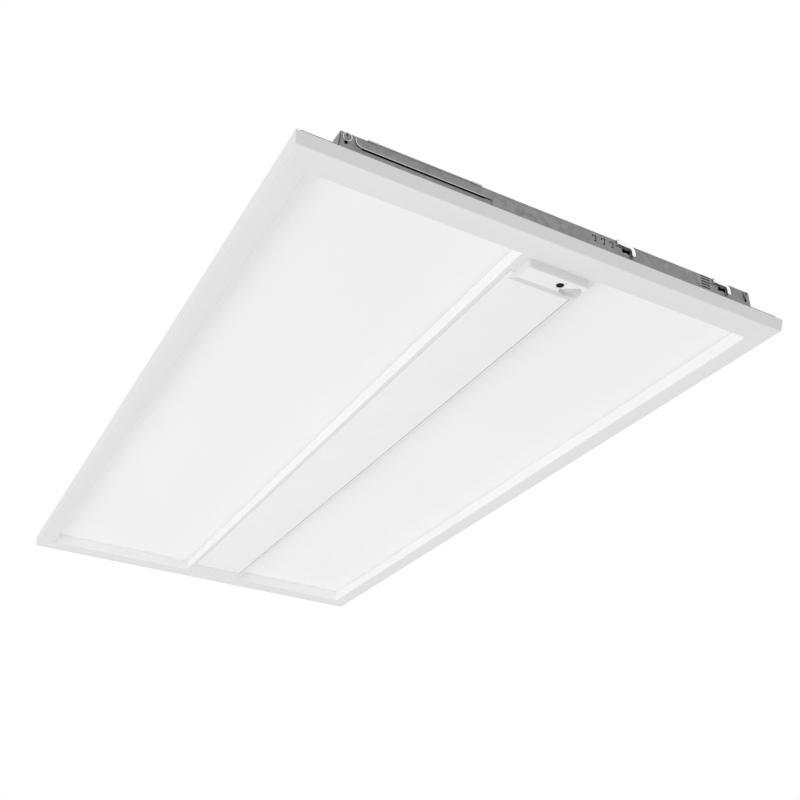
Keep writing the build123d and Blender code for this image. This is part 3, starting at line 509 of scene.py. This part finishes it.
hinges = [joint for joint in frame["joints"] if joint["type"] == "hinge"]
for end, side in (("near", -1), ("far", 1)):
    places = [(*joint["pos_m"], abs(joint["axis"][0]) > 0.5)          # true for a pin along X
              for joint in hinges if joint["pos_m"][1] * side > 0]
    brightKnuckles(bpy.data.objects["end_plate_" + end + "_soft"], places, knuckles["plateReach"])
    if side < 0:
        doorPins = [place for place in places if place[3]]
        brightKnuckles(bpy.data.objects["wiring_door_soft"], doorPins, knuckles["doorReach"])


# Centre cover: a pressed strip with rolled long edges that almost meet the channel's lips

cover = {"overhang": 0.4, "roll": 1.3, "skirtInset": 2.2, "skirtWall": 1.4, "skirtEnd": 45.0,
         "thickness": 1.6}


def buildCover():
    low, high = [Vector(corner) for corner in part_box("centre_cover")]
    low.x -= cover["overhang"] * mm
    high.x += cover["overhang"] * mm
    form = bmesh.new()
    spans = [(low, Vector((high.x, high.y, low.z + cover["thickness"] * mm)))]
    skirtLow = low.z + cover["thickness"] * mm / 2
    for side, edge in ((1, low.x), (-1, high.x)):
        inner = edge + side * (cover["overhang"] + cover["skirtInset"]) * mm
        outer = inner + side * cover["skirtWall"] * mm
        spans.append((Vector((min(inner, outer), low.y + cover["skirtEnd"] * mm, skirtLow)),
                      Vector((max(inner, outer), high.y - cover["skirtEnd"] * mm, high.z))))
    for number, (start, end) in enumerate(spans):
        middle = Matrix.Translation((start + end) / 2) @ Matrix.Diagonal((*(end - start), 1))
        made = bmesh.ops.create_cube(form, size=1, matrix=middle)
        if number == 0:
            lowest = [edge for vert in made["verts"] for edge in vert.link_edges
                      if all(end.co.z < low.z + mm / 10 for end in edge.verts)]
            bmesh.ops.bevel(form, geom=list(set(lowest)), offset=cover["roll"] * mm, segments=5, profile=0.5,
                            affect="EDGES")
    piece = addPiece("centre_cover_strip", toMesh(form, "centre_cover_strip"), "housing", ["centre_cover"],
                     "whiteAbs")
    piece.data.shade_smooth()
    piece.data.set_sharp_from_angle(angle=math.radians(40))


buildCover()


# Grid clips: a bent strap with a rounded shoulder and a leg that flares out

clip = {"reach": 22.4, "band": 3.4, "wide": 4.5, "leg": 4.7, "shoulder": 4.6, "thickness": 0.8, "flare": 1.1,
        "knuckle": 1.2, "edge": 0.22, "taper": 4.0, "ahead": 0.1, "behind": 1.0, "longer": 2.8,
        "bendSteps": 8, "flareFrom": 0.3, "tipShare": 0.5}


def buildClip(node):
    low, high = [Vector(corner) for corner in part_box(node)]
    side = -1 if low.y < 0 else 1                  # near or far end, where the strap runs the other way
    hinge = next(joint for joint in frame["joints"] if joint["child"] == node)
    pin = Vector(hinge["pos_m"])
    top, tip = high.z, low.z - clip["longer"] * mm
    outward = side
    along = -side
    back = pin.y + outward * clip["ahead"] * mm
    middle = top - clip["wide"] / 2 * mm
    shoulder = clip["shoulder"] * mm
    turnAt = pin.x + along * (clip["reach"] - clip["leg"] / 2) * mm - along * shoulder
    line = [(Vector((pin.x + along * d * mm, 0, top - w / 2 * mm)), Vector((0, 0, 1)), w)
            for d, w in ((-clip["behind"], clip["band"]),
                         (clip["taper"] / 2, (clip["band"] + clip["wide"]) / 2),
                         (clip["taper"], clip["wide"]))]
    steps = clip["bendSteps"]
    for i in range(steps + 1):
        turn = math.pi / 2 * i / steps
        outer = Vector((along * math.sin(turn), 0, math.cos(turn)))
        line.append((Vector((turnAt, 0, middle - shoulder)) + shoulder * outer, outer,
                     clip["wide"] + (clip["leg"] - clip["wide"]) * i / steps))
    foot = tip + clip["leg"] / 3 * mm
    line.append((Vector((line[-1][0].x, 0, foot)), Vector((along, 0, 0)), clip["leg"]))
    line.append((Vector((line[-1][0].x, 0, tip)), Vector((along, 0, 0)), clip["leg"] * clip["tipShare"]))
    form = bmesh.new()
    rows = []
    for place, outer, width in line:
        flare = clip["flare"] * mm * max(0, (top - place.z) / (top - tip) - clip["flareFrom"])
        row = []
        for depth in (0, clip["thickness"]):
            for reach in (1, -1):
                corner = place + outer * (reach * width / 2 * mm)
                corner.y = back + outward * (depth * mm + flare)
                row.append(form.verts.new(corner))
        rows.append(row)
    for a, b in zip(rows, rows[1:]):
        for i, j in ((0, 1), (1, 3), (3, 2), (2, 0)):
            form.faces.new((a[i], a[j], b[j], b[i]))
    form.faces.new([rows[0][i] for i in (0, 2, 3, 1)])
    form.faces.new([rows[-1][i] for i in (0, 1, 3, 2)])
    capRings(form, addRings(form, [(clip["knuckle"], -clip["band"], 0), (clip["knuckle"], 0, 0)],
                            (pin.x, pin.y, top), count=20))
    bmesh.ops.recalc_face_normals(form, faces=form.faces)
    piece = addPiece(node + "_strap", toMesh(form, node + "_strap"), node, [node], "clip")
    roundEdges(piece, clip["edge"], 3)


for node in nodeFinish["clip"]:
    if node.startswith("grid_clip"):
        buildClip(node)
print("clips: 4")


# Screws, rivets, knockout and bushing

hexHead = [(3.3, 0, 0), (3.42, 0.15, 0), (3.3, 0.38, 0), (2.7, 0.45, 0), (2.55, 0.46, 6), (2.55, 1.2, 6),
           (2.4, 1.42, 0), (2.1, 1.5, 0), (1.5, 1.5, 0), (1.3, 1.25, 0), (0.2, 1.15, 0)]
rivetHead = [(2.4, 0, 0), (2.35, 0.3, 0), (2.0, 0.65, 0), (1.4, 0.88, 0), (0.7, 0.98, 0), (0.1, 1.0, 0)]
shank = {"screw": 1.55, "rivet": 1.35}
bushingRings = [(8.0, -3.1, 0), (10.6, -3.1, 0), (10.9, -2.2, 0), (10.9, 0, 0), (12.9, 0, 0), (13.3, 0.4, 0),
                (13.3, 1.4, 0), (12.6, 2.1, 0), (11.2, 2.4, 0), (9.2, 2.35, 0), (8.3, 1.9, 0), (8.0, 1.2, 0)]
knockoutRings = [(0.1, 0.62, 0), (3.4, 0.62, 0), (3.8, 0.8, 0), (10.3, 0.8, 0), (10.9, 0.55, 0),
                 (10.9, 0, 0), (0.1, 0, 0)]
entrySides = 64


def fixings(node, rings, shankRadius, finish, headDown=False):
    form = bmesh.new()
    tall = max(height for radius, height, flats in rings)
    for low, high in islandBoxes(node):
        x, y = (low.x + high.x) / 2, (low.y + high.y) / 2
        flip = -1 if headDown else 1
        seat = low.z + tall * mm if headDown else high.z - tall * mm
        end = (high.z - seat if headDown else seat - low.z) / mm
        stem = [(shankRadius, -end, 0), (shankRadius, 0, 0)]
        capRings(form, addRings(form, stem + rings, (x, y, seat), flip))
    bmesh.ops.recalc_face_normals(form, faces=form.faces)
    piece = addPiece(node + "_turned", toMesh(form, node + "_turned"), "housing", [node], finish)
    piece.data.shade_smooth()
    piece.data.set_sharp_from_angle(angle=math.radians(38))


for node in ("frame_screws", "plate_screws", "access_screws", "driver_screws", "channel_screws"):
    fixings(node, hexHead, shank["screw"], "zinc")
fixings("ground_screw", hexHead, shank["screw"], "greenZinc", headDown=True)
fixings("board_rivets", rivetHead, shank["rivet"], "whiteAbs", headDown=True)


def buildEntry():
    low, high = [Vector(corner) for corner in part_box("supply_bushing")]
    form = bmesh.new()
    seat = high.z - bushingRings[8][1] * mm
    loops = addRings(form, bushingRings, ((low.x + high.x) / 2, (low.y + high.y) / 2, seat), count=entrySides)
    for i in range(entrySides):
        j = (i + 1) % entrySides
        form.faces.new((loops[-1][i], loops[-1][j], loops[0][j], loops[0][i]))
    bmesh.ops.recalc_face_normals(form, faces=form.faces)
    piece = addPiece("supply_bushing_ring", toMesh(form, "supply_bushing_ring"), "housing",
                     ["supply_bushing"], "blackNylon")
    piece.data.shade_smooth()
    low, high = [Vector(corner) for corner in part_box("knockout_disc")]
    form = bmesh.new()
    loops = addRings(form, knockoutRings, ((low.x + high.x) / 2, (low.y + high.y) / 2, low.z),
                     count=entrySides)
    capRings(form, loops)
    bmesh.ops.recalc_face_normals(form, faces=form.faces)
    piece = addPiece("knockout_disc_pressed", toMesh(form, "knockout_disc_pressed"), "housing",
                     ["knockout_disc"], "galvanised")
    piece.data.shade_smooth()
    piece.data.set_sharp_from_angle(angle=math.radians(30))


buildEntry()
print("fixings and entry: done")


# Rim drawn above the outer hanger hole, the door's hem, and the round conductors of the supply leads

rim = {"across": -248.8, "height": 32.6, "width": 4.4, "tall": 4.5, "radius": 0.75, "face": 602.8,
       "points": 40}
hem = {"radius": 0.55, "corner": 8.0, "below": 0.1, "top": 36.5, "bendSteps": 12, "straightSteps": 6}
wires = {"radius": 0.85, "spread": 0.95, "twist": 70.0, "bend": 30.0,
         "acrossSteps": 20, "bendSteps": 10, "alongSteps": 70}


def buildRims():
    for end, side in (("near", -1), ("far", 1)):
        form = bmesh.new()
        middle = -side * rim["across"]
        loop = []
        for i in range(rim["points"]):
            turn = 2 * math.pi * i / rim["points"]
            loop.append(mm * Vector((middle + rim["width"] * math.cos(turn), side * rim["face"],
                                     rim["height"] + rim["tall"] * math.sin(turn))))
        addTube(form, loop, rim["radius"], closed=True)
        bmesh.ops.recalc_face_normals(form, faces=form.faces)
        # the rim's shape is real; its paler zinc is a painted highlight
        piece = addPiece("hanger_rims_" + end, toMesh(form, "hanger_rims_" + end), "housing", [], "pressed")
        piece.data.shade_smooth()


def buildHem():
    # the door's lower edge is folded back on itself, which leaves a round line along the joint, bright from
    # its shape and from its paler zinc, a painted highlight
    low, high = [Vector(corner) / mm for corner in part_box("wiring_door")]
    face = min(v.co.y for v in nodes["wiring_door"].data.vertices if v.co.z < low.z * mm + mm) / mm
    face += hem["radius"] / 2
    left, floor, corner = low.x + hem["below"], low.z + hem["below"], hem["corner"] - hem["below"]
    path = [(left, face, hem["top"])]
    path += [(left + corner - corner * math.cos(t), face, floor + corner - corner * math.sin(t))
             for t in (math.pi / 2 * i / hem["bendSteps"] for i in range(hem["bendSteps"] + 1))]
    path += [(left + corner + (high.x - left - corner) * i / hem["straightSteps"], face, floor)
             for i in range(1, hem["straightSteps"] + 1)]
    form = bmesh.new()
    addTube(form, [mm * Vector(place) for place in path], hem["radius"], 10)
    bmesh.ops.recalc_face_normals(form, faces=form.faces)
    piece = addPiece("door_hem", toMesh(form, "door_hem"), "wiring_door", [], "pressed")
    piece.data.shade_smooth()


def supplyRoute():
    # straight runs joined by an arc, as points about 5 mm apart
    low, high = [Vector(corner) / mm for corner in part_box("supply_leads")]
    half = (high.z - low.z) / 2
    start = Vector((low.x, low.y + half, low.z + half))
    corner = Vector((high.x - half, low.y + half, start.z))
    end = Vector((corner.x, high.y, start.z))
    bend, across, along = wires["bend"], wires["acrossSteps"], wires["alongSteps"]
    centre = corner + Vector((-bend, bend, 0))
    points = [start.lerp(corner - Vector((bend, 0, 0)), i / across) for i in range(across)]
    points += [centre + bend * Vector((math.sin(t), -math.cos(t), 0))
               for t in (math.pi / 2 * i / wires["bendSteps"] for i in range(wires["bendSteps"] + 1))]
    begin = corner + Vector((0, bend, 0))
    return points + [begin.lerp(end, i / along) for i in range(1, along + 1)]


def buildWires():
    route = supplyRoute()
    for number, finish in enumerate(("blackLead", "greyLead", "greenLead")):
        form = bmesh.new()
        path, gone = [], 0.0
        for i, place in enumerate(route):
            ahead = route[min(i + 1, len(route) - 1)] - route[max(i - 1, 0)]
            level = Vector((-ahead.y, ahead.x, 0)).normalized()
            gone += (place - route[i - 1]).length if i else 0
            turn = 2 * math.pi * (gone / wires["twist"] + number / 3)
            aside = level * math.cos(turn) + Vector((0, 0, math.sin(turn)))
            path.append(mm * (place + wires["spread"] * aside))
        addTube(form, path, wires["radius"], 10)
        bmesh.ops.recalc_face_normals(form, faces=form.faces)
        piece = addPiece("supply_wire_%d" % (number + 1), toMesh(form, "supply_wire"), "housing",
                         ["supply_leads"], finish)
        piece.data.shade_smooth()


buildRims()
buildHem()
buildWires()
print("rims, hem and wires: done")


# Room: a pale floor a ceiling's height below, white all round

room = {"ceilingHeight": 2.4, "floorSide": 40.0, "floorColour": "F2F2F2", "wallLight": 0.755}
softBoxes = {
    "side": {"place": (-2.6, -0.3, -1.7), "aim": (0, 0, 0), "size": (2.2, 2.2), "watts": 28,
             "objectOnly": True},
    "below": {"place": (0.3, 0.2, -2.3), "aim": (0, 0, 0), "size": (4.0, 4.0), "watts": 26},
}


def aimed(thing, place, target, roll=0.0):
    thing.location = place
    look = (Vector(target) - Vector(place)).to_track_quat("-Z", "Y")
    thing.rotation_euler = (look.to_matrix() @ Matrix.Rotation(math.radians(roll), 3, "Z")).to_euler()


def buildFloor():
    half = room["floorSide"] / 2
    mesh = bpy.data.meshes.new("floor")
    corners = [(-half, -half), (half, -half), (half, half), (-half, half)]
    mesh.from_pydata([(x, y, -room["ceilingHeight"]) for x, y in corners], [], [(0, 1, 2, 3)])
    floor = bpy.data.objects.new("floor", mesh)
    bpy.context.scene.collection.objects.link(floor)
    material, tree, bsdf = startMaterial("Floor pale plaster", Roughness=0.9)
    patch = addNode(tree, "ShaderNodeTexNoise", {"Scale": 0.6, "Detail": 2.0}, {"Vector": objectPlace(tree)})
    tint = addNode(tree, "ShaderNodeValToRGB", {"stops": [(0.3, "F0F0F0"), (0.7, room["floorColour"])]},
                   {"Fac": patch.outputs["Fac"]})
    tree.links.new(tint.outputs["Color"], bsdf.inputs["Base Color"])
    mesh.materials.append(material)
    floor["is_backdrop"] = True


def buildWorld():
    world = bpy.data.worlds.new("studio")
    bpy.context.scene.world = world
    world.use_nodes = True
    tree = world.node_tree
    tree.nodes.clear()
    path = addNode(tree, "ShaderNodeLightPath").outputs
    seen = addNode(tree, "ShaderNodeMath", {"operation": "MAXIMUM"},
                   {0: path["Is Camera Ray"], 1: path["Is Glossy Ray"]})
    seen = addNode(tree, "ShaderNodeMath", {"operation": "MAXIMUM"},
                   {0: seen.outputs[0], 1: path["Is Transmission Ray"]})
    strength = addNode(tree, "ShaderNodeMapRange", {"To Min": room["wallLight"], "To Max": 1.0},
                       {"Value": seen.outputs[0]})
    background = addNode(tree, "ShaderNodeBackground", {"Color": (1, 1, 1, 1)},
                         {"Strength": strength.outputs["Result"]})
    addNode(tree, "ShaderNodeOutputWorld", links={"Surface": background.outputs[0]})


def buildLights():
    for name, box in softBoxes.items():
        light = bpy.data.lights.new(name, "AREA")
        light.shape = "RECTANGLE"
        light.size, light.size_y = box["size"]
        light.energy = box["watts"]
        lamp = bpy.data.objects.new(name, light)
        bpy.context.scene.collection.objects.link(lamp)
        aimed(lamp, box["place"], box["aim"])
        lamp.visible_camera = False
        lamp.visible_glossy = box.get("objectOnly", False)
        if box.get("objectOnly"):
            lit = bpy.data.collections.new("lit by " + name)
            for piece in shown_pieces():
                lit.objects.link(piece)
            lamp.light_linking.receiver_collection = lit


buildFloor()
buildWorld()
buildLights()
print("room: floor and", len(softBoxes), "soft boxes")


# Camera, below the light and off its near left corner, looking up

view = {
    "place": (-0.5318, -1.3383, -0.6834),
    "target": (-0.0419, -0.4042, -0.1112),
    "roll": 2.4,
    "lens": 48.7,
    "shift": (-0.04, 0.0125),
}
lens = bpy.data.cameras.new("camera")
lens.lens = view["lens"]
lens.shift_x, lens.shift_y = view["shift"]
lens.clip_end = 100
camera = bpy.data.objects.new("camera", lens)
bpy.context.scene.collection.objects.link(camera)
aimed(camera, view["place"], view["target"], view["roll"])
bpy.context.scene.camera = camera
bpy.context.scene.view_settings.view_transform = "Standard"
print("camera: set")
